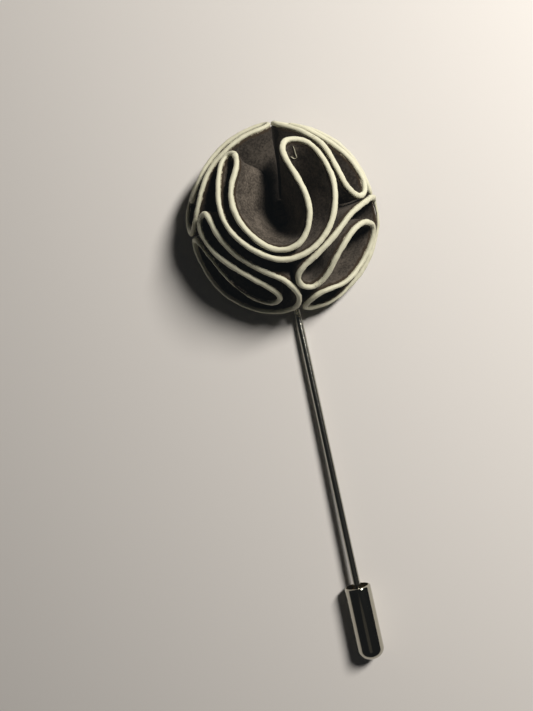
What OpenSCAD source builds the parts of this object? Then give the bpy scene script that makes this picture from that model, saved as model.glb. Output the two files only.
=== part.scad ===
// A lapel pin: a flower of five suede discs, each folded twice into quarters, with
// rounded painted edges. The flower is glued to a round backing with the pad of a stick
// pin let into its underside, and a pull-off clutch covers the pin's point.
// The pin lies on its back. Z is up, the flower's hub is above the origin and the pin
// runs along -Y.

/* [Folded discs] */
// Distance from the hub to the middle of the painted edges
reach = 16.55; // [16:0.05:18]
// Thickness of the suede just under a painted edge
suede_t = 1.02; // [0.8:0.02:1.04]
// Radius round the hub inside which the tips of the folds are squeezed into one knot
tip_r = 4.7; // [4:0.1:5.4]
// Height of the hub, where all folds meet, over the surface that the pin lies on
hub_z = 2.4; // [2.3:0.1:4]

/* [Painted edges] */
// Width of a painted edge across the suede
edge_w = 1.04; // [0.96:0.02:1.1]
// Height of a painted edge
edge_h = 0.95; // [0.6:0.05:1.1]
// Gap between a painted edge and its suede
edge_gap = 0.04; // [0.02:0.01:0.1]

/* [Backing] */
// Diameter of the round backing
backing_d = 22; // [16:0.5:26]
// Thickness of the backing
backing_t = 2.2; // [2:0.1:2.2]
// Depth of the pocket for the pad and the tang of the pin
pocket_depth = 1.4; // [1.35:0.05:1.5]

/* [Stick pin] */
// Diameter of the pin's wire
wire_d = 1.3; // [1:0.05:1.4]
// Diameter of the pad that the wire is soldered to
pad_d = 10; // [8:0.5:12]
// Thickness of the pad
pad_t = 1.1; // [1.05:0.05:1.1]
// Sideways offset of the wire from the hub
wire_x = -0.8; // [-2:0.1:2]
// Distance from the hub to where the flat tang ends and the round wire starts
tang_end = 15.5; // [13:0.5:16.5]
// Width of the flat tang
tang_w = 2.2; // [1.4:0.1:3]
// Thickness of the flat tang
tang_t = 0.7; // [0.6:0.05:0.8]
// Length of the tapered point that the clutch covers
point_len = 9; // [6:0.5:10]

/* [Clutch] */
// Outer diameter of the clutch
clutch_d = 4.7; // [4:0.1:5]
// Length of the clutch
clutch_len = 13.2; // [12:0.2:16]
// Distance from the hub to the mouth of the clutch
mouth_y = 67.1; // [50:0.1:80]
// Height of the rounded end
dome_h = 1.9; // [1:0.1:2.2]
// Wall at the mouth
mouth_wall = 0.35; // [0.25:0.05:0.6]
// Depth of the recess in the mouth
mouth_depth = 2; // [1:0.1:3]
// Gap between the point and the bore
bore_gap = 0.1; // [0.08:0.01:0.2]

/* [Hidden] */

$fn = 64;
SUEDE = [0.36, 0.33, 0.29];
CREAM = [0.93, 0.91, 0.82];
METAL = [0.75, 0.75, 0.73];

ring_gap = 1.3;            // distance between two rings of a folded wall
min_steps = 2;             // fewest rings between two rows of a table
edge_sides = 8;            // sides of a painted edge's rounded section
knot_gap = 0.15;           // distance from the knot to the outer discs' tips
knot_overlap = 0.5;        // how far the middle disc's wall runs into the knot
pocket_gap = 0.1;          // play between the pin and its pocket
point_tip_r = 0.12;        // radius of the blunt tip of the point
wall_end = reach - edge_h / 2 - edge_gap;
wire_z = pad_t / 2;
clutch_r = clutch_d / 2;
// The wire rises to the clutch, whose mouth rests on the surface
pin_tilt = asin((clutch_r - wire_z) / mouth_y);

// Where each disc's rim runs, seen from the hub, a row for each stretch or bend.
// Columns: azimuth from +X, polar angle from +Z, and how far past reach it lies.
AZ = 0;
POLAR = 1;
PAST = 2;

// Middle disc: outer loop round the top, wide fold at its right, inner loop back
CENTRE_RIM = [
    [119, 49.5, 0], [123, 53.3, 0], [130, 52, 0], [138, 48, 0], [151, 43, 0],
    [165, 40, 0], [182, 37.2, 0], [206, 33.3, 0], [230, 31.4, 0], [257, 32, 0],
    [283, 31, 0], [308, 30, 0], [333, 30, 0], [354, 31, 0], [14, 34, 0], [31, 37, 0],
    [44, 41, 0], [56, 45, 0], [66, 46, 0], [75, 43.5, 0], [78.5, 38, 0], [78, 32, 0],
    [73, 26, 0], [58, 19, 0], [21, 14, 0], [350, 14, 0], [325, 16, 0], [300, 20, 0],
    [280, 24, 0], [258, 26, 0], [235, 26, 0], [212, 25.5, 0], [192, 27, 0],
    [172, 29.5, 0], [157, 32, 0], [143, 34.3, 0], [130, 36.7, 0], [122, 41.8, 0],
    [119.7, 46.3, 0]];

// Upper right disc: from the notch at the top, round a long narrow fold
UPPER_RIGHT_RIM = [
    [82.5, 73, 0.2], [79.5, 67, 0], [71, 61, 0], [60, 55.3, 0], [49, 52, 0],
    [38, 46.5, 0], [26, 42.5, 0], [13, 41.5, 0], [4.5, 43.5, 0], [-0.5, 48, 0],
    [-1.3, 54, 0], [2, 60.5, 0], [9, 64, 0], [22, 63.5, 0], [35, 60.5, 0],
    [48, 60.3, 0], [60, 63.3, 0], [68, 67, 0], [72, 70, -0.1], [72.3, 73, -0.15],
    [68, 75.2, -0.15], [50, 75.5, -0.15], [30, 75.5, -0.15], [15, 76.5, -0.25],
    [8, 78, -0.3], [6.5, 82, -0.3], [12, 87, -0.2], [35, 88.5, 0], [62, 88.5, 0.1],
    [77, 86.5, 0.2], [83, 80.5, 0.2]];

// Lower right disc: down the long inner fold, back up, and down along the foot
LOWER_RIGHT_RIM = [
    [1, 77, 0.1], [-2, 67, 0], [-7, 55, 0], [-13, 46, 0], [-22, 40, 0], [-35, 36.5, 0],
    [-52, 34.6, 0], [-70, 35.5, 0], [-82, 38, 0], [-89, 42, 0], [-90, 48, 0],
    [-86.3, 53.7, 0], [-79, 56.5, 0], [-69, 53, 0], [-58, 47.3, 0], [-45, 45, 0],
    [-31.4, 46.5, 0], [-23.8, 51, 0], [-19.6, 57.2, 0], [-18.5, 65, 0], [-19, 72, 0.1],
    [-26, 76, 0.2], [-37, 76, 0.1], [-44.5, 74.5, 0], [-53.5, 69.5, 0], [-62, 67.3, 0],
    [-69.5, 65.5, 0], [-78, 65.8, 0], [-85, 71, 0], [-88, 77, 0], [-87, 82, 0.1],
    [-77, 87, 0.25], [-55, 88, 0.45], [-30, 88, 0.45], [-8, 87, 0.1], [0, 84, 0.1]];

// Lower left disc: two long folds side by side over the foot
LOWER_LEFT_RIM = [
    [170, 52, 0], [174, 49.2, 0], [185, 47.5, -0.3], [197.5, 45.8, -0.7],
    [212.5, 44.4, -0.9], [230, 43.2, -0.9], [245.5, 44, -0.7], [257.5, 46, -0.3],
    [264, 50.5, 0], [268.5, 59, 0], [268.5, 68, 0], [265.5, 77, 0], [257, 84, 0.1],
    [240, 88, 0.25], [222, 88, 0.25], [210, 85, 0.1], [200, 81, 0], [191, 78, 0],
    [186, 76, 0], [183.7, 73.5, 0], [184, 70.5, 0], [187, 67.5, 0], [194, 65, -0.2],
    [204, 63.5, -0.35], [216, 65, -0.35], [230, 69.5, -0.35], [244, 72.5, -0.3],
    [252, 70.5, -0.2], [256.3, 64.5, -0.3], [252.7, 58, -0.5], [243.5, 54, -0.7],
    [230, 52, -0.7], [214, 53.5, -0.7], [200, 57, -0.5], [188, 60.5, -0.3],
    [178, 60.5, 0], [172, 57.5, 0]];

// Left disc: four layers close together down the side, from the notch at the top
LEFT_RIM = [
    [87, 67.8, 0.2], [92.5, 63.8, 0], [106, 61.3, 0], [120, 59.5, 0], [135, 60, 0],
    [149, 59.5, 0], [162, 60.5, 0], [171, 64, 0], [176, 69, 0], [179, 76, 0],
    [175, 84, 0.15], [160, 88, 0.27], [140, 88, -0.1], [118, 88, -0.45],
    [102, 87.3, -0.4], [97.5, 85.2, -0.3], [97.5, 81.4, -0.3], [102, 79.3, -0.4],
    [118, 79.5, -0.45], [138, 79.5, -0.35], [152, 79, -0.1], [157, 77.3, 0],
    [158.7, 74.8, 0], [157, 72, 0], [152, 70.3, 0], [143, 70.3, 0], [128, 71.5, 0],
    [113, 72.3, 0.1], [98, 72.5, 0.2], [90.5, 73.2, 0.3], [87.2, 71, 0.3]];

function unit(v) = v / norm(v);

// The place of a table's row, from the hub
function spot(row) = (reach + row[PAST]) * [
    sin(row[POLAR]) * cos(row[AZ]), sin(row[POLAR]) * sin(row[AZ]), cos(row[POLAR])];

// A smooth curve from p1 (t = 0) to p2 (t = 1), with p0 before and p3 after them
function pull(a, b, c, d1, d2) = (b - a) / d1 - (c - a) / (d1 + d2) + (c - b) / d2;
function smooth(p0, p1, p2, p3, t) =
    let (d0 = sqrt(norm(p1 - p0)), d1 = sqrt(norm(p2 - p1)), d2 = sqrt(norm(p3 - p2)))
    let (m1 = d1 * pull(p0, p1, p2, d0, d1), m2 = d1 * pull(p1, p2, p3, d1, d2))
    (2 * t ^ 3 - 3 * t ^ 2 + 1) * p1 + (t ^ 3 - 2 * t ^ 2 + t) * m1
        + (3 * t ^ 2 - 2 * t ^ 3) * p2 + (t ^ 3 - t ^ 2) * m2;

// The closed rim of a disc, on spheres round the hub, as evenly spaced points
function rim(rows) =
    let (p = [for (row = rows) spot(row)], n = len(p))
    [for (i = [0 : n - 1])
        let (a = p[(i + n - 1) % n], b = p[i], c = p[(i + 1) % n], d = p[(i + 2) % n])
        let (steps = max(min_steps, round(norm(c - b) / ring_gap)))
        for (k = [0 : steps - 1])
            unit(smooth(a, b, c, d, k / steps))
                * (norm(b) + (norm(c) - norm(b)) * k / steps)];

// The direction across the suede at each point of a rim
function across(points) =
    let (n = len(points))
    [for (i = [0 : n - 1])
        unit(cross(points[i], points[(i + 1) % n] - points[(i + n - 1) % n]))];

// A solid swept round a closed path, from one section for each point of the path
module closed_sweep(sections) {
    n = len(sections);
    m = len(sections[0]);
    corners = [for (section = sections) each section];
    faces = [for (i = [0 : n - 1], k = [0 : m - 1])
        let (a = i * m + k, b = i * m + (k + 1) % m)
        let (c = ((i + 1) % n) * m + (k + 1) % m, d = ((i + 1) % n) * m + k)
        each [[a, c, b], [a, d, c]]];
    polyhedron(corners, faces);
}

// The folded wall of one disc: a cone from the rim towards the hub, thinner at its
// tip, where the layers are squeezed together
module folded_wall(rows, tip) {
    points = rim(rows);
    side = across(points);
    translate([0, 0, hub_z])
        closed_sweep([for (i = [0 : len(points) - 1])
            let (outer = unit(points[i]) * (norm(points[i]) - reach + wall_end))
            let (inner = unit(points[i]) * tip, half = side[i] * suede_t / 2)
            let (half_tip = half * tip / wall_end)
            [inner - half_tip, inner + half_tip, outer + half, outer - half]]);
}

// The painted edge along the rim of one disc, with a rounded section
module painted_edge(rows) {
    points = rim(rows);
    side = across(points);
    translate([0, 0, hub_z])
        closed_sweep([for (i = [0 : len(points) - 1])
            [for (k = [0 : edge_sides - 1])
                let (a = -(k + 0.5) * 360 / edge_sides, flat = cos(180 / edge_sides))
                points[i] + side[i] * edge_w / 2 * cos(a) / flat
                    + unit(points[i]) * edge_h / 2 * sin(a) / flat]]);
}

// The pin's own frame: its wire runs along +Z from the hub's axis towards the clutch
module along_wire() {
    translate([wire_x, 0, wire_z])
        rotate([90 - pin_tilt, 0, 0])
            children();
}

// The middle disc holds the knot of squeezed tips
module petal_centre() {
    knot_r = tip_r - knot_gap;
    color(SUEDE)
        union() {
            folded_wall(CENTRE_RIM, knot_r - knot_overlap);
            translate([0, 0, hub_z])
                rotate_extrude()
                    polygon(concat([[0, 0]], [for (a = [0 : 9 : 90])
                        knot_r * [cos(a), sin(a)]]));
        }
}

module petal_upper_right() { color(SUEDE) folded_wall(UPPER_RIGHT_RIM, tip_r); }
module petal_lower_right() { color(SUEDE) folded_wall(LOWER_RIGHT_RIM, tip_r); }
module petal_lower_left() { color(SUEDE) folded_wall(LOWER_LEFT_RIM, tip_r); }
module petal_left() { color(SUEDE) folded_wall(LEFT_RIM, tip_r); }

module edge_centre() { color(CREAM) painted_edge(CENTRE_RIM); }
module edge_upper_right() { color(CREAM) painted_edge(UPPER_RIGHT_RIM); }
module edge_lower_right() { color(CREAM) painted_edge(LOWER_RIGHT_RIM); }
module edge_lower_left() { color(CREAM) painted_edge(LOWER_LEFT_RIM); }
module edge_left() { color(CREAM) painted_edge(LEFT_RIM); }

// Round backing with a pocket for the pin's pad and a groove for its tang underneath
module backing() {
    color(SUEDE)
        difference() {
            cylinder(h = backing_t, d = backing_d);
            translate([wire_x, 0, -1])
                cylinder(h = pocket_depth + 1, d = pad_d + 2 * pocket_gap);
            translate([wire_x - tang_w / 2 - pocket_gap, -backing_d, -1])
                cube([tang_w + 2 * pocket_gap, backing_d, pocket_depth + 1]);
        }
}

// Pad, flat tang, round wire and tapered point, soldered or drawn in one
module stick_pin() {
    color(METAL)
        union() {
            translate([wire_x, 0, wire_z - pad_t / 2])
                cylinder(h = pad_t, d = pad_d);
            along_wire()
                translate([-tang_w / 2, -tang_t / 2, 0])
                    cube([tang_w, tang_t, tang_end]);
            along_wire()
                translate([0, 0, tang_end])
                    cylinder(h = mouth_y - tang_end, d = wire_d);
            along_wire()
                translate([0, 0, mouth_y])
                    cylinder(h = point_len, r1 = wire_d / 2, r2 = point_tip_r);
        }
}

// Bullet-shaped clutch: open recessed mouth, narrow bore, rounded closed end
module clutch() {
    bore_r = wire_d / 2 + bore_gap;
    bore_end = point_len + 1;
    dome_start = clutch_len - dome_h;
    arc = [for (a = [0 : 6 : 90]) [clutch_r * cos(a), dome_start + dome_h * sin(a)]];
    color(METAL)
        along_wire()
            translate([0, 0, mouth_y])
                rotate_extrude($fn = 96)
                    polygon(concat(
                        [[0, bore_end], [bore_r, bore_end], [bore_r, mouth_depth],
                            [clutch_r - mouth_wall, mouth_depth],
                            [clutch_r - mouth_wall, 0], [clutch_r, 0]],
                        arc));
}

petal_centre();
petal_upper_right();
petal_lower_right();
petal_lower_left();
petal_left();
edge_centre();
edge_upper_right();
edge_lower_right();
edge_lower_left();
edge_left();
backing();
stick_pin();
clutch();
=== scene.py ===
import math

import bpy
from mathutils import Matrix, Vector


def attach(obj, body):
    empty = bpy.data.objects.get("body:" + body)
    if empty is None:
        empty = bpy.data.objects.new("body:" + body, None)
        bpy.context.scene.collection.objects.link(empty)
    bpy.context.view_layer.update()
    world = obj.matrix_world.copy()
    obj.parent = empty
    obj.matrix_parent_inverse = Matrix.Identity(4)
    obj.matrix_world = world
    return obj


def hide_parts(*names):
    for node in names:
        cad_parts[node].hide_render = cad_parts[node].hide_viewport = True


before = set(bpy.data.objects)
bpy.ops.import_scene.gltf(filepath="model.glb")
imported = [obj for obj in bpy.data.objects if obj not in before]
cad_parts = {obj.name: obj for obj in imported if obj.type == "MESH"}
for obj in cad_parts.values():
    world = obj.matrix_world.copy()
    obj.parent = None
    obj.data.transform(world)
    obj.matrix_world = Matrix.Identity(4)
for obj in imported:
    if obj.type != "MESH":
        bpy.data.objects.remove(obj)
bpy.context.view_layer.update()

MM = 0.001
MERGE = 0.002 * MM                      # points closer than this are one
HUB = Vector((0, 0, 2.4 * MM))          # where all folds meet
DISCS = ("centre", "upper_right", "lower_right", "lower_left", "left")
RIM_R = 12 * MM                         # the rims of the discs lie further out than this
WALL_LEN = 16.0                         # from a rim to the hub, in mm
INTO_PAINT = 0.3                        # how far a wall runs up into its painted edge
WALL_ROWS = (0.4, 1, 1.8, 3, 4.6, 6.4, 8.4, 10.2, 12, 13.6)   # depths below the rim, in mm
KNOT_R = 3.8 * MM                       # the squeezed tips of the discs, in one knot
WISP_R = 0.09 * MM                      # a thread of paint inside the middle disc
WISP_LIFT = 0.06                        # how far it lies off the suede, in mm
# Where it runs, as places in the photograph
WISP_PX = ((293, 146), (294.5, 150), (295.5, 154.5), (297.5, 157.5), (294, 159), (291, 156.5))
BACKING_D = 22 * MM                     # across the leather disc on the back
BACKING_RIM = 0.48                      # its rim lies further out than this share of that
BACKING_ROUND = 0.35                    # how far its rim is worn round, in mm
WIRE_START = Vector((-0.8, 0, 0.55)) * MM    # the middle of the pad that the wire leaves
WIRE_TILT = 1.537                       # how steeply it rises towards the clutch
DENTED_TO = -14 * MM                    # the wire is most dented from the flower to here,
SMOOTH_FROM = -40 * MM                  # and almost smooth beyond this, along y
MOUTH = 67.1 * MM                       # from the wire's start to the mouth of the clutch
LIP_R = 2.2 * MM                        # the outer edge of its lip lies further out than this
LIP_NEAR = 0.1 * MM                     # and no further than this from the mouth
LIP_ROUND = 0.28                        # how far the lip is rolled, in mm
LINING_R = 2.12 * MM                    # the walls inside lie further in than this
LINING_LEN = 10 * MM                    # and no further than this from the mouth
SHARP = math.radians(60)                # edges as sharp as this are rounded off
ROUND_STEPS = 4                         # how finely they are rounded
SMOOTH_BELOW = math.radians(35)         # edges blunter than this are shaded smooth

# Where a wall sags: the strands below a polar angle, from one depth to another below the
# rim, flattened towards the hub's height, and how far round them the wall follows, in mm
SAGS = [
    {"disc": "lower_right", "polar": 62, "depths": (2.5, 11), "flat": 0.45, "reach": 2.6},
]
# Where a wall bulges: the middle of the bulge as seen from the hub, its depth below the
# rim, how it is moved and how far round it the wall follows, in mm. The painted edge moves
# with the bulges that start at the rim.
BULGE_CORE = 1.0                        # points this near the middle move in full
BULGES = [
    {"disc": "centre", "azimuth": 121, "polar": 48, "depth": 6, "move": (1.7, 1.1, 0),
     "reach": 5},
    {"disc": "left", "azimuth": 98, "polar": 62, "depth": 6, "move": (0.3, -0.3, 1.4),
     "reach": 5},
    {"disc": "lower_right", "azimuth": -82, "polar": 50, "depth": 5, "move": (-0.3, -0.6, -2),
     "reach": 5},
    {"disc": "lower_right", "azimuth": -6, "polar": 87, "depth": 3.2, "move": (-0.3, 0, -2.3),
     "reach": 4},
    {"disc": "lower_right", "azimuth": 0.5, "polar": 79, "depth": 0, "move": (0.05, -0.45, 0),
     "reach": 3.2},
    {"disc": "upper_right", "azimuth": 6.5, "polar": 82, "depth": 0, "move": (0.15, -0.9, 0),
     "reach": 2.8},
    {"disc": "lower_right", "azimuth": -57, "polar": 64, "depth": 0,
     "move": (0.37, -0.57, -0.5), "reach": 5.5},
    {"disc": "lower_right", "azimuth": -72, "polar": 87, "depth": 0, "move": (0.12, -0.33, 0),
     "reach": 4},
    {"disc": "lower_right", "azimuth": -15, "polar": 87, "depth": 0, "move": (0.42, -0.1, 0),
     "reach": 3.6},
]
# How much slimmer a bead is than the widest, in mm, and the stretches where it is slimmer
# still, from one place to another as seen from the hub (azimuth, polar angle)
SLIM = {"centre": 0.02, "upper_right": 0.02, "lower_right": 0.02, "lower_left": 0.04,
        "left": 0.08}
SLIM_CORE = 0.9                         # points this near the stretch go in fully
SLIM_STEPS = 20                         # how finely a stretch is divided
SLIM_STRETCHES = [
    {"disc": "centre", "from": (125, 52), "to": (215, 33), "slim": 0.08, "reach": 2},
    {"disc": "lower_right", "from": (-6, 87), "to": (-22, 87), "slim": 0.18, "reach": 2.5},
    {"disc": "lower_right", "from": (-60, 87), "to": (-80, 87), "slim": 0.18, "reach": 2.5},
    {"disc": "lower_left", "from": (192, 66), "to": (228, 69), "slim": 0.26, "reach": 2},
    {"disc": "lower_left", "from": (228, 69), "to": (246, 72.5), "slim": 0.22, "reach": 2},
    {"disc": "left", "from": (104, 87.5), "to": (158, 88), "slim": 0.2, "reach": 2},
    {"disc": "left", "from": (102, 79.4), "to": (150, 79), "slim": 0.1, "reach": 1.6},
]
# How dark the suede of each disc is coloured: painted shade and light, lighter on the middle
# disc, whose walls face the lamp most, and darker on the discs whose walls are turned from it
SHADE_TONES = {"centre": 1.12, "upper_right": 0.76, "lower_right": 0.78, "lower_left": 0.8,
         "left": 0.46}
# How bright the paint of each disc is coloured
PAINT_TONES = {"centre": 1, "upper_right": 0.98, "lower_right": 0.9, "lower_left": 0.94,
               "left": 0.9}
SUEDE_DARK = (0.045, 0.037, 0.029)
SUEDE_BRUSHED = (0.145, 0.122, 0.098)
# The band under the painted edge: partly stain, partly painted shade under the bead
STAIN_AND_SHADE = (0.045, 0.032, 0.02)
SMEARED_PAINT = (0.55, 0.5, 0.38)
DULL_CREAM = (0.7, 0.68, 0.5)
CREAM = (0.82, 0.81, 0.63)
CRACK_DIRT = (0.3, 0.26, 0.2)
PAPER = (0.755, 0.731, 0.703)
PAPER_SIZE = 2.4                        # in metres, far wider than the picture

# The camera looks straight down, turned round the view axis as the photograph is
PHOTO_W, PHOTO_H = 533, 711
FOCAL_PX = 890
CAMERA_H = 162 * MM
PHOTO_TURN = math.radians(12.3)
HUB_PX = (281.9, 219.6)                 # where the hub lies in the photograph
RIGHT = Vector((math.cos(PHOTO_TURN), -math.sin(PHOTO_TURN), 0))
UP = Vector((math.sin(PHOTO_TURN), math.cos(PHOTO_TURN), 0))
PX = (CAMERA_H - HUB.z) / FOCAL_PX      # the width of one of its dots at that height
EYE = -RIGHT * (HUB_PX[0] - PHOTO_W / 2) * PX - UP * (PHOTO_H / 2 - HUB_PX[1]) * PX
EYE.z = CAMERA_H
SENSOR = 36                             # the height of the camera's film, in mm
HAZE = (-0.0035, -0.0042, -0.0046)      # of the lens, which lifts the blacks
ROOM_COLOUR = (0.95, 0.96, 1.0, 1)
ROOM_LIGHT = 0.011


# Modelling helpers

def deselect():
    if bpy.context.object and bpy.context.object.mode != "OBJECT":
        bpy.ops.object.mode_set(mode="OBJECT")
    bpy.ops.object.select_all(action="DESELECT")


def only(piece):
    """Selects one piece and makes it the active one."""
    deselect()
    piece.select_set(True)
    bpy.context.view_layer.objects.active = piece


def join(piece, other):
    only(piece)
    other.select_set(True)
    bpy.ops.object.join()


def new_object(name, data):
    made = bpy.data.objects.new(name, data)
    bpy.context.scene.collection.objects.link(made)
    return made


def merged_copy(node, name):
    """A copy of a CAD node's mesh with its loose triangles joined."""
    piece = new_object(name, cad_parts[node].data.copy())
    piece.data.materials.clear()
    only(piece)
    bpy.ops.object.mode_set(mode="EDIT")
    bpy.ops.mesh.select_all(action="SELECT")
    bpy.ops.mesh.remove_doubles(threshold=MERGE)
    bpy.ops.mesh.select_all(action="DESELECT")
    bpy.ops.object.mode_set(mode="OBJECT")
    if piece.data.has_custom_normals:
        bpy.ops.mesh.customdata_custom_splitnormals_clear()
    return piece


def open_in_quads():
    """Opens the active piece for editing, all selected, in quads with normals outwards."""
    bpy.ops.object.mode_set(mode="EDIT")
    bpy.ops.mesh.select_all(action="SELECT")
    bpy.ops.mesh.tris_convert_to_quads()
    bpy.ops.mesh.normals_make_consistent(inside=False)


def pick_points(piece, wanted):
    """Leaves edit mode open with just the wanted points selected."""
    only(piece)
    bpy.ops.object.mode_set(mode="EDIT")
    bpy.ops.mesh.select_mode(type="VERT")
    bpy.ops.mesh.select_all(action="DESELECT")
    bpy.ops.object.mode_set(mode="OBJECT")
    for v in piece.data.vertices:
        v.select = wanted(v)
    bpy.ops.object.mode_set(mode="EDIT")


def fading_out(reach):
    """Settings for an edit that fades out round the picked points, reach in mm."""
    return {"use_proportional_edit": True, "proportional_edit_falloff": "SMOOTH",
            "proportional_size": reach * MM}


def finish_mesh(piece, levels, uneven=()):
    """Smooths a piece and makes it uneven. uneven holds (strength, size) pairs in mm."""
    only(piece)
    smooth = piece.modifiers.new("smooth", "SUBSURF")
    smooth.levels = smooth.render_levels = levels
    bpy.ops.object.modifier_apply(modifier=smooth.name)
    for k, (strength, size) in enumerate(uneven):
        clouds = bpy.data.textures.new("%s_uneven_%d" % (piece.name, k), "CLOUDS")
        clouds.noise_scale = size * MM
        clouds.noise_depth = 1
        wave = piece.modifiers.new("uneven", "DISPLACE")
        wave.texture = clouds
        wave.texture_coords = "LOCAL"
        wave.strength = strength * MM
        wave.mid_level = 0.5
        bpy.ops.object.modifier_apply(modifier=wave.name)
    bpy.ops.object.shade_smooth()


# The flower

def rows_for(disc, table):
    return [row for row in table if row["disc"] == disc]


def seen_from_hub(azimuth, polar, depth=0):
    """The place in a direction from the hub, so many mm below the rims."""
    a, p = math.radians(azimuth), math.radians(polar)
    way = Vector((math.sin(p) * math.cos(a), math.sin(p) * math.sin(a), math.cos(p)))
    return HUB + way * (WALL_LEN - depth) * MM


def set_depth(piece, depth):
    """Notes on the selected points how far below the rim they lie, for the paint's border."""
    if "below_rim" not in piece.data.attributes:
        piece.data.attributes.new("below_rim", "FLOAT", "POINT")
    noted = piece.data.attributes["below_rim"].data
    for v in piece.data.vertices:
        if v.select:
            noted[v.index].value = depth * MM


def suede_wall(disc):
    """The folded wall of one disc, drawn in from its rim towards the hub in rows."""
    wall = merged_copy("petal_" + disc, "suede_" + disc)
    pick_points(wall, lambda v: (v.co - HUB).length < RIM_R)
    bpy.ops.mesh.delete(type="VERT")
    bpy.ops.mesh.select_mode(type="FACE")
    bpy.ops.mesh.select_all(action="SELECT")
    bpy.ops.mesh.tris_convert_to_quads()
    bpy.ops.transform.resize(value=(1 + INTO_PAINT / WALL_LEN,) * 3, center_override=HUB)
    bpy.ops.mesh.duplicate()
    at = -INTO_PAINT
    for row in WALL_ROWS:
        bpy.ops.object.mode_set(mode="EDIT")
        bpy.ops.mesh.extrude_region_move()
        bpy.ops.transform.resize(value=((WALL_LEN - row) / (WALL_LEN - at),) * 3,
                                 center_override=HUB)
        bpy.ops.object.mode_set(mode="OBJECT")
        set_depth(wall, row)
        at = row
    bpy.ops.object.mode_set(mode="EDIT")
    bpy.ops.mesh.select_all(action="SELECT")
    bpy.ops.mesh.remove_doubles(threshold=MERGE)
    bpy.ops.mesh.normals_make_consistent(inside=False)
    bpy.ops.object.mode_set(mode="OBJECT")
    sag(wall, rows_for(disc, SAGS))
    bulge(wall, rows_for(disc, BULGES))
    finish_mesh(wall, levels=2, uneven=((0.12, 3.5), (0.05, 0.8)))
    return wall


def sag(wall, rows):
    """Lets the low strands of a wall sag below their rim, as soft leather does."""
    depths = [noted.value / MM for noted in wall.data.attributes["below_rim"].data]
    for row in rows:
        low = math.cos(math.radians(row["polar"]))
        top, bottom = row["depths"]
        pick_points(wall, lambda v: (top <= depths[v.index] <= bottom
                                     and (v.co - HUB).normalized().z < low))
        bpy.ops.transform.resize(value=(1, 1, row["flat"]), center_override=HUB,
                                 **fading_out(row["reach"]))
        bpy.ops.object.mode_set(mode="OBJECT")


def bulge(piece, rows):
    """Moves the middle of each bulge, and the points round it less and less."""
    for row in rows:
        middle = seen_from_hub(row["azimuth"], row["polar"], row["depth"])
        pick_points(piece, lambda v: (v.co - middle).length < BULGE_CORE * MM)
        bpy.ops.transform.translate(value=[c * MM for c in row["move"]],
                                    **fading_out(row["reach"]))
        bpy.ops.object.mode_set(mode="OBJECT")


def squeezed_tips():
    """The knot round the hub where the tips of the five discs are gathered."""
    deselect()
    bpy.ops.mesh.primitive_uv_sphere_add(segments=32, ring_count=16, radius=KNOT_R,
                                         location=HUB)
    knot = bpy.context.object
    bpy.ops.object.transform_apply(location=True, rotation=True, scale=True)
    bpy.ops.object.mode_set(mode="EDIT")
    bpy.ops.mesh.select_all(action="SELECT")
    bpy.ops.mesh.bisect(plane_co=HUB, plane_no=(0, 0, -1), clear_outer=True, use_fill=True)
    bpy.ops.object.mode_set(mode="OBJECT")
    finish_mesh(knot, levels=1, uneven=((0.3, 1.1), (0.1, 0.5)))
    pick_points(knot, lambda v: True)
    bpy.ops.object.mode_set(mode="OBJECT")
    set_depth(knot, WALL_LEN - KNOT_R / MM)
    return knot


def declare_disc(wall, disc):
    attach(wall, "pin")
    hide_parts("petal_" + disc)


def slim_down(bead, row):
    """Makes a bead slimmer along a stretch of it."""
    (a0, p0), (a1, p1) = row["from"], row["to"]
    steps = [k / SLIM_STEPS for k in range(SLIM_STEPS + 1)]
    middles = [seen_from_hub(a0 + (a1 - a0) * t, p0 + (p1 - p0) * t) for t in steps]
    core = SLIM_CORE * MM
    pick_points(bead, lambda v: min((v.co - m).length for m in middles) < core)
    bpy.ops.transform.shrink_fatten(value=-row["slim"] * MM, **fading_out(row["reach"]))


def painted_bead(disc):
    """The dried bead of edge paint along the rim of one disc."""
    bead = merged_copy("edge_" + disc, "paint_" + disc)
    open_in_quads()
    bpy.ops.transform.shrink_fatten(value=-SLIM[disc] * MM)
    bulge(bead, [row for row in rows_for(disc, BULGES) if row["depth"] == 0])
    for row in rows_for(disc, SLIM_STRETCHES):
        slim_down(bead, row)
    bpy.ops.object.mode_set(mode="OBJECT")
    finish_mesh(bead, levels=2, uneven=((0.16, 2.2), (0.12, 0.6)))
    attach(bead, "pin")
    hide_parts("edge_" + disc)
    return bead


def wisp_of_paint(wall):
    """A thin dried thread of paint on the wall of the middle disc."""
    spots = []
    for x, y in WISP_PX:
        across = -RIGHT * (PHOTO_W / 2 - x) + UP * (PHOTO_H / 2 - y)
        seen = (across + Vector((0, 0, -FOCAL_PX))).normalized()
        spot, normal = wall.ray_cast(EYE, seen)[1:3]
        spots.append(spot + normal * WISP_LIFT * MM)
    deselect()
    first = spots[1] - spots[0]
    bpy.ops.mesh.primitive_circle_add(vertices=6, radius=WISP_R, location=spots[0],
                                      rotation=first.to_track_quat("Z", "Y").to_euler())
    wisp = bpy.context.object
    bpy.ops.object.transform_apply(location=True, rotation=True, scale=True)
    bpy.ops.object.mode_set(mode="EDIT")
    bpy.ops.mesh.select_all(action="SELECT")
    for a, b in zip(spots, spots[1:]):
        bpy.ops.mesh.extrude_region_move(TRANSFORM_OT_translate={"value": b - a})
    bpy.ops.mesh.select_all(action="SELECT")
    bpy.ops.mesh.normals_make_consistent(inside=False)
    finish_mesh(wisp, levels=2)
    return wisp


# Backing and clutch

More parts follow.
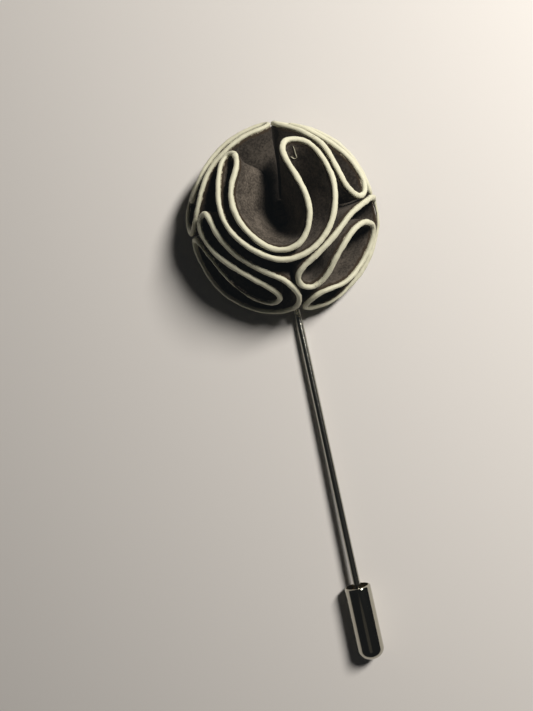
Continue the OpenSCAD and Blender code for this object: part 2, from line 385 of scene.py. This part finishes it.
def rounded_copy(node, name, wanted, size):
    """A copy of a CAD node with the wanted sharp edges rounded off, size in mm."""
    piece = merged_copy(node, name)
    open_in_quads()
    pick_points(piece, wanted)
    bpy.ops.mesh.select_mode(type="EDGE")
    bpy.ops.object.mode_set(mode="OBJECT")
    kept = {e.index for e in piece.data.edges if e.select}
    bpy.ops.object.mode_set(mode="EDIT")
    bpy.ops.mesh.select_all(action="DESELECT")
    bpy.ops.mesh.edges_select_sharp(sharpness=SHARP)
    bpy.ops.object.mode_set(mode="OBJECT")
    for e in piece.data.edges:
        e.select = e.select and e.index in kept
    bpy.ops.object.mode_set(mode="EDIT")
    bpy.ops.mesh.bevel(offset=size * MM, segments=ROUND_STEPS)
    bpy.ops.object.mode_set(mode="OBJECT")
    bpy.ops.object.shade_smooth_by_angle(angle=SMOOTH_BELOW)
    return piece


def soft_backing():
    """The leather disc on the back, its cut edges worn round."""
    backing = rounded_copy("backing", "leather_backing",
                           lambda v: v.co.xy.length > BACKING_RIM * BACKING_D, BACKING_ROUND)
    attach(backing, "pin")
    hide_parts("backing")
    return backing


def along_wire(spot):
    """How far along the wire a spot lies, and how far off its axis."""
    tilt = math.radians(WIRE_TILT)
    way = Vector((0, -math.cos(tilt), math.sin(tilt)))
    from_start = spot - WIRE_START
    along = from_start.dot(way)
    return along, (from_start - way * along).length


def bright_clutch():
    """The clutch with a rounded lip."""
    def on_lip(v):
        along, off = along_wire(v.co)
        return abs(along - MOUTH) < LIP_NEAR and off > LIP_R

    return rounded_copy("clutch", "bullet_clutch", on_lip, LIP_ROUND)


def line_inside(clutch):
    """Puts the second material on the walls inside the mouth."""
    def inside(v):
        along, off = along_wire(v.co)
        return along < MOUTH + LINING_LEN and off < LINING_R

    pick_points(clutch, inside)
    bpy.ops.mesh.select_mode(type="FACE")
    clutch.active_material_index = 1
    bpy.ops.object.material_slot_assign()
    bpy.ops.object.mode_set(mode="OBJECT")


# Shader nodes

def feed(tree, source, socket):
    """Links an output to a socket, or sets the socket to a plain value."""
    if isinstance(source, bpy.types.NodeSocket):
        tree.links.new(source, socket)
    else:
        socket.default_value = source


def place(tree, kind, settings=None, **sources):
    """A new node. Underscores in the names of its sockets stand for spaces."""
    node = tree.nodes.new(kind)
    for key, value in (settings or {}).items():
        setattr(node, key, value)
    for key, source in sources.items():
        feed(tree, source, node.inputs[key.replace("_", " ")])
    return node


def maths(tree, operation, *sources):
    node = place(tree, "ShaderNodeMath", {"operation": operation})
    for socket, source in zip(node.inputs, sources):
        feed(tree, source, socket)
    return node.outputs["Value"]


def remap(tree, source, **ends):
    return place(tree, "ShaderNodeMapRange", None, Value=source, **ends).outputs["Result"]


def blend(tree, share, first, second):
    """The first colour where the share is 0, the second where it is 1."""
    node = place(tree, "ShaderNodeMix", {"data_type": "RGBA"}, Factor=share)
    first_colour, second_colour = [s for s in node.inputs if s.type == "RGBA"]
    feed(tree, first, first_colour)
    feed(tree, second, second_colour)
    return [s for s in node.outputs if s.type == "RGBA"][0]


def on_piece(tree):
    """Where a point lies on its own piece."""
    return place(tree, "ShaderNodeTexCoord").outputs["Object"]


def noise(tree, where, scale, detail, roughness):
    return place(tree, "ShaderNodeTexNoise", None, Vector=where, Scale=scale, Detail=detail,
                 Roughness=roughness).outputs["Fac"]


def raised(tree, height, shader, strength, distance):
    bump = place(tree, "ShaderNodeBump", None, Height=height, Strength=strength,
                 Distance=distance)
    feed(tree, bump.outputs["Normal"], shader["Normal"])


def new_group(name, ins, outs):
    """A node group, with the sockets it is given and the sockets it fills."""
    group = bpy.data.node_groups.new(name, "ShaderNodeTree")
    for label, kind, value in ins:
        socket = group.interface.new_socket(name=label, in_out="INPUT", socket_type=kind)
        socket.default_value = value
    for label, kind in outs:
        group.interface.new_socket(name=label, in_out="OUTPUT", socket_type=kind)
    given = group.nodes.new("NodeGroupInput").outputs
    filled = group.nodes.new("NodeGroupOutput").inputs
    return group, given, filled


def use_group(tree, group, **values):
    node = tree.nodes.new("ShaderNodeGroup")
    node.node_tree = group
    for key, value in values.items():
        node.inputs[key.replace("_", " ")].default_value = value
    return node.outputs


# Surfaces

def nap_group():
    """Short fibres of suede: mottled colour and a fine, soft relief."""
    tree, given, out = new_group(
        "suede nap",
        [("Colour", "NodeSocketColor", (0.1, 0.08, 0.07, 1)),
         ("Brushed colour", "NodeSocketColor", (0.15, 0.13, 0.11, 1)),
         ("Fibre scale", "NodeSocketFloat", 2200)],
        [("Colour", "NodeSocketColor"), ("Height", "NodeSocketFloat")])
    where = on_piece(tree)
    fibres = noise(tree, where, scale=given["Fibre scale"], detail=4.0, roughness=0.65)
    patches = noise(tree, where, scale=420.0, detail=3.0, roughness=0.6)
    broad = noise(tree, where, scale=90.0, detail=2.0, roughness=0.5)
    # Half of the relief is fibres, the rest is patches
    height = maths(tree, "MULTIPLY", patches, 0.3)
    height = maths(tree, "MULTIPLY_ADD", fibres, 0.5, height)
    height = maths(tree, "MULTIPLY_ADD", broad, 0.2, height)
    brushed = remap(tree, height, From_Min=0.425, From_Max=0.575)
    feed(tree, blend(tree, brushed, given["Colour"], given["Brushed colour"]), out["Colour"])
    feed(tree, height, out["Height"])
    return tree


def border_group():
    """A ragged band below the rim: where the edge paint has run onto the suede, and the stain
    and painted shade under the painted edge.
    """
    tree, given, out = new_group(
        "paint border",
        [("Width", "NodeSocketFloat", 0.2 * MM), ("Ragged", "NodeSocketFloat", 0.3 * MM)],
        [("Mask", "NodeSocketFloat")])
    below = place(tree, "ShaderNodeAttribute", {"attribute_name": "below_rim"}).outputs["Fac"]
    ragged = noise(tree, on_piece(tree), scale=1300.0, detail=4.0, roughness=0.7)
    ragged = maths(tree, "SUBTRACT", ragged, 0.5)
    border = maths(tree, "MULTIPLY_ADD", ragged, given["Ragged"], given["Width"])
    inside = maths(tree, "SUBTRACT", border, below)
    feed(tree, remap(tree, inside, From_Min=-0.04 * MM, From_Max=0.04 * MM), out["Mask"])
    return tree


def crackle_group():
    """Fine cracks of dried paint, only in places, and the grime on it."""
    tree, given, out = new_group(
        "paint crackle",
        [("Crack scale", "NodeSocketFloat", 900), ("Crack share", "NodeSocketFloat", 0.45)],
        [("Cracks", "NodeSocketFloat"), ("Height", "NodeSocketFloat"),
         ("Grime", "NodeSocketFloat")])
    where = on_piece(tree)
    cells = place(tree, "ShaderNodeTexVoronoi", {"feature": "DISTANCE_TO_EDGE"},
                  Vector=where, Scale=given["Crack scale"])
    places = noise(tree, where, scale=260.0, detail=2.0, roughness=0.5)
    grime = noise(tree, where, scale=700.0, detail=5.0, roughness=0.65)
    thin = remap(tree, cells.outputs["Distance"], From_Min=0.0, From_Max=0.05,
                 To_Min=1.0, To_Max=0.0)
    whole_share = maths(tree, "SUBTRACT", 1.0, given["Crack share"])
    cracked = maths(tree, "GREATER_THAN", places, whole_share)
    cracks = maths(tree, "MULTIPLY", thin, cracked)
    feed(tree, cracks, out["Cracks"])
    feed(tree, maths(tree, "MULTIPLY_ADD", cracks, -0.6, grime), out["Height"])
    feed(tree, grime, out["Grime"])
    return tree


def metal_wear_group():
    """Small dents of plated metal, deeper towards the flower."""
    tree, given, out = new_group(
        "metal wear",
        [("Dent scale", "NodeSocketFloat", 800), ("Smooth below", "NodeSocketFloat", -1.0)],
        [("Height", "NodeSocketFloat"), ("Tarnish", "NodeSocketFloat")])
    where = on_piece(tree)
    dents = noise(tree, where, scale=given["Dent scale"], detail=2.0, roughness=0.5)
    tarnish = noise(tree, where, scale=1500.0, detail=5.0, roughness=0.7)
    along = place(tree, "ShaderNodeSeparateXYZ", None, Vector=where).outputs["Y"]
    near = remap(tree, along, From_Min=given["Smooth below"], From_Max=DENTED_TO, To_Min=0.12)
    feed(tree, maths(tree, "MULTIPLY", dents, near), out["Height"])
    feed(tree, tarnish, out["Tarnish"])
    return tree


NAP, BORDER, CRACKLE, WEAR = nap_group(), border_group(), crackle_group(), metal_wear_group()


# Materials

def new_material(name):
    """A material, its nodes and the sockets of its shader."""
    material = bpy.data.materials.new(name)
    material.use_nodes = True
    tree = material.node_tree
    return material, tree, tree.nodes["Principled BSDF"].inputs


def toned(colour, tone=1.0):
    return [tone * c for c in colour] + [1]


def suede_material(name, tone):
    """Suede with its nap, a dark band below the painted edge that is partly stain and partly
    painted shade, and paint smeared over it.
    """
    material, tree, shader = new_material(name)
    nap = use_group(tree, NAP, Colour=toned(SUEDE_DARK, tone),
                    Brushed_colour=toned(SUEDE_BRUSHED, tone), Fibre_scale=2600.0)
    stain_and_shade = use_group(tree, BORDER, Width=0.3 * MM, Ragged=0.8 * MM)
    smear = use_group(tree, BORDER, Width=-0.02 * MM, Ragged=0.6 * MM)
    # The dark band under the bead is partly stain and partly painted shade
    colour = blend(tree, stain_and_shade["Mask"], nap["Colour"], toned(STAIN_AND_SHADE))
    colour = blend(tree, smear["Mask"], colour, toned(SMEARED_PAINT))
    feed(tree, colour, shader["Base Color"])
    shader["Roughness"].default_value = 0.95
    shader["Specular IOR Level"].default_value = 0.15
    shader["Sheen Weight"].default_value = 0.06
    shader["Sheen Roughness"].default_value = 0.5
    shader["Sheen Tint"].default_value = (0.9, 0.82, 0.74, 1)
    raised(tree, nap["Height"], shader, strength=0.6, distance=0.2 * MM)
    return material


def paint_material(name, tone):
    """Cream edge paint, duller in patches, with dirt in its cracks."""
    material, tree, shader = new_material(name)
    crackle = use_group(tree, CRACKLE, Crack_scale=1000.0, Crack_share=0.32)
    cream = blend(tree, crackle["Grime"], toned(DULL_CREAM, tone), toned(CREAM, tone))
    colour = blend(tree, crackle["Cracks"], cream, toned(CRACK_DIRT))
    feed(tree, colour, shader["Base Color"])
    shader["Roughness"].default_value = 0.55
    shader["Specular IOR Level"].default_value = 0.35
    raised(tree, crackle["Height"], shader, strength=0.35, distance=0.08 * MM)
    return material


def metal_material(name, colour, roughness, dents, strength, smooth_below=-1.0):
    """Metal with small dents, darker and rougher where it has tarnished."""
    material, tree, shader = new_material(name)
    wear = use_group(tree, WEAR, Dent_scale=dents, Smooth_below=smooth_below)
    tint = blend(tree, wear["Tarnish"], toned(colour, 0.8), toned(colour))
    feed(tree, tint, shader["Base Color"])
    gloss = remap(tree, wear["Tarnish"], To_Min=roughness * 1.3, To_Max=roughness * 0.7)
    feed(tree, gloss, shader["Roughness"])
    shader["Metallic"].default_value = 1.0
    raised(tree, wear["Height"], shader, strength, distance=0.1 * MM)
    return material


def paper_material():
    material, tree, shader = new_material("pale paper")
    shader["Base Color"].default_value = toned(PAPER)
    shader["Roughness"].default_value = 0.9
    return material


def dress(piece, material):
    piece.data.materials.clear()
    piece.data.materials.append(material)


SUEDE = suede_material("suede", 0.8)
WIRE = metal_material("nickel wire", (0.5, 0.49, 0.43), roughness=0.2, dents=1500.0,
                      strength=1.0, smooth_below=SMOOTH_FROM)
PLATE = metal_material("nickel plate", (0.54, 0.52, 0.44), roughness=0.12, dents=500.0,
                       strength=0.06)
BRASS = metal_material("bare brass", (0.5, 0.42, 0.24), roughness=0.2, dents=500.0, strength=0.2)


# Making the pin

for disc in DISCS:
    wall = suede_wall(disc)
    if disc == "centre":
        join(wall, squeezed_tips())
    declare_disc(wall, disc)
    # The disc's tone is painted shade and light on its suede
    dress(wall, suede_material("suede " + disc.replace("_", " "), SHADE_TONES[disc]))
    bead = painted_bead(disc)
    if disc == "centre":
        join(bead, wisp_of_paint(wall))
    dress(bead, paint_material("paint " + disc.replace("_", " "), PAINT_TONES[disc]))
dress(soft_backing(), SUEDE)
dress(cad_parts["stick_pin"], WIRE)
clutch = bright_clutch()
dress(clutch, PLATE)
clutch.data.materials.append(BRASS)
line_inside(clutch)
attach(clutch, "clutch")
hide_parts("clutch")


# Floor, light, camera

deselect()
bpy.ops.mesh.primitive_plane_add(size=PAPER_SIZE, location=(EYE.x, EYE.y, 0))
paper = bpy.context.object
paper.name = "paper"
dress(paper, paper_material())

camera = new_object("camera", bpy.data.cameras.new("camera"))
camera.location = EYE
camera.rotation_euler = (0, 0, -PHOTO_TURN)
camera.data.sensor_fit = "VERTICAL"
camera.data.sensor_height = SENSOR
camera.data.lens = SENSOR * FOCAL_PX / PHOTO_H
camera.data.clip_start = 0.01
bpy.context.scene.camera = camera
look = bpy.context.scene.view_settings
look.view_transform = "Standard"
look.use_curve_mapping = True
look.curve_mapping.black_level = HAZE
look.curve_mapping.update()


def soft_light(name, azimuth, elevation, distance, aim, size, watts, colour):
    """An area light seen from the middle of the picture. Azimuth 0 is the picture's right,
    aim is how far right and up of the middle it points, and size is its width and its
    length away from the picture."""
    a, e = math.radians(azimuth), math.radians(elevation)
    middle = Vector((EYE.x, EYE.y, 0))
    outward = RIGHT * math.cos(a) + UP * math.sin(a)
    way = outward * math.cos(e) + Vector((0, 0, math.sin(e)))
    lamp = new_object(name, bpy.data.lights.new(name, "AREA"))
    lamp.location = middle + way * distance
    back = (lamp.location - middle - RIGHT * aim[0] - UP * aim[1]).normalized()
    along = (outward - back * outward.dot(back)).normalized()
    lamp.rotation_euler = Matrix((along.cross(back), along, back)).transposed().to_euler()
    lamp.data.shape = "ELLIPSE"
    lamp.data.size, lamp.data.size_y = size
    lamp.data.energy = watts
    lamp.data.color = colour
    return lamp


soft_light("window", azimuth=48, elevation=46.8, distance=0.42, aim=(0.3, 0.15),
           size=(0.085, 0.24), watts=2.78, colour=(1.0, 0.957, 0.9))
# A pale gap overhead that the clutch mirrors as a thin streak
gap = soft_light("pale gap", azimuth=-86, elevation=62, distance=0.226, aim=(0.016, -0.044),
                 size=(0.09, 0.1), watts=0.001, colour=(1.0, 0.9, 0.73))
gap.visible_diffuse = False

world = bpy.data.worlds.new("room")
bpy.context.scene.world = world
world.use_nodes = True
room = world.node_tree.nodes["Background"].inputs
room["Color"].default_value = ROOM_COLOUR
room["Strength"].default_value = ROOM_LIGHT
